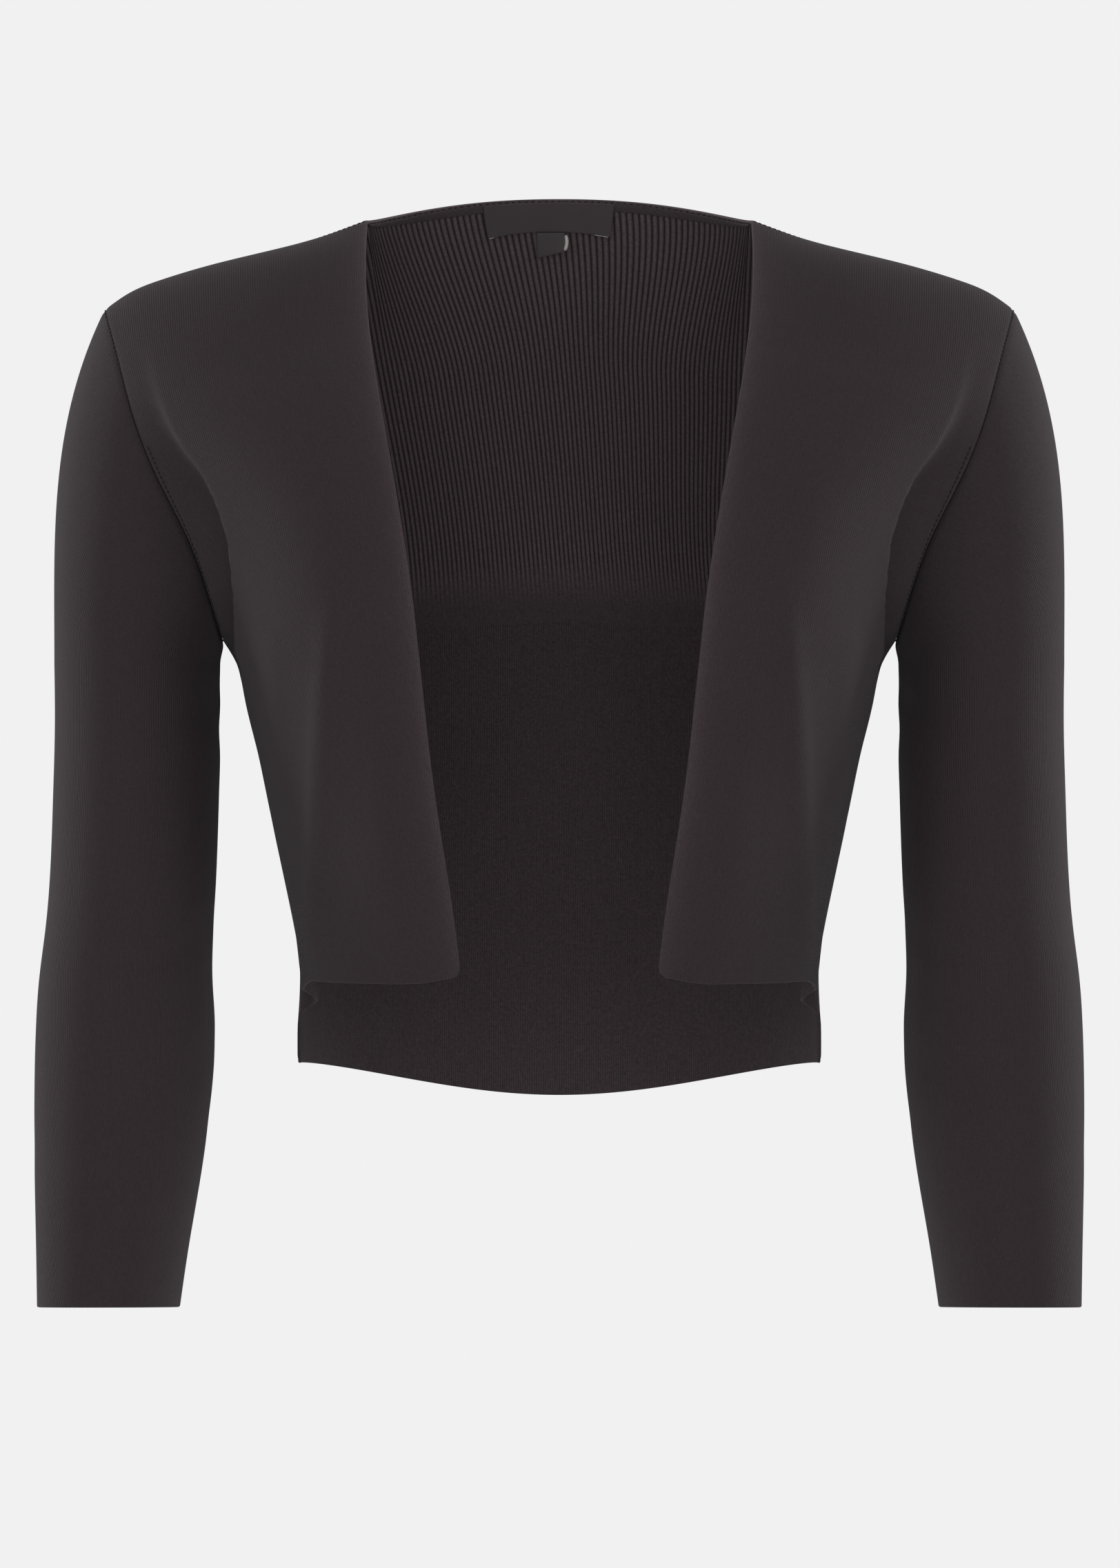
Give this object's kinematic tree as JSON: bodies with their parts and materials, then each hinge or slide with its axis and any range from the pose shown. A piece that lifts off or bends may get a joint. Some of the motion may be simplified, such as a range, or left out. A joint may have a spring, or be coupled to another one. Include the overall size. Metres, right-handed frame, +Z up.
{
  "type": "knitted jacket",
  "caption": "Open-front cropped knitted jacket with set-in three-quarter sleeves, worn hollow shape with a longer back.",
  "frame": {"origin": "midway between the two neck points, where the shoulder seams meet the neck edge and the wearer's shoulders hold the jacket", "axes": "+Z up, the open front faces -Y, +X is the wearer's left"},
  "size_m": [0.4596, 0.2189, 0.4892],
  "materials": {
    "knit": "matt fine-gauge charcoal knit with a faint nap",
    "woven_ribbon": "close-woven black ribbon with a slight satin sheen"
  },
  "bodies": {
    "root": {"back": "knit", "front_left": "knit", "front_right": "knit", "sleeve_left": "knit", "sleeve_right": "knit", "neck_band": "knit", "neck_label": "woven_ribbon", "size_tab": "woven_ribbon"}
  },
  "joints": []
}
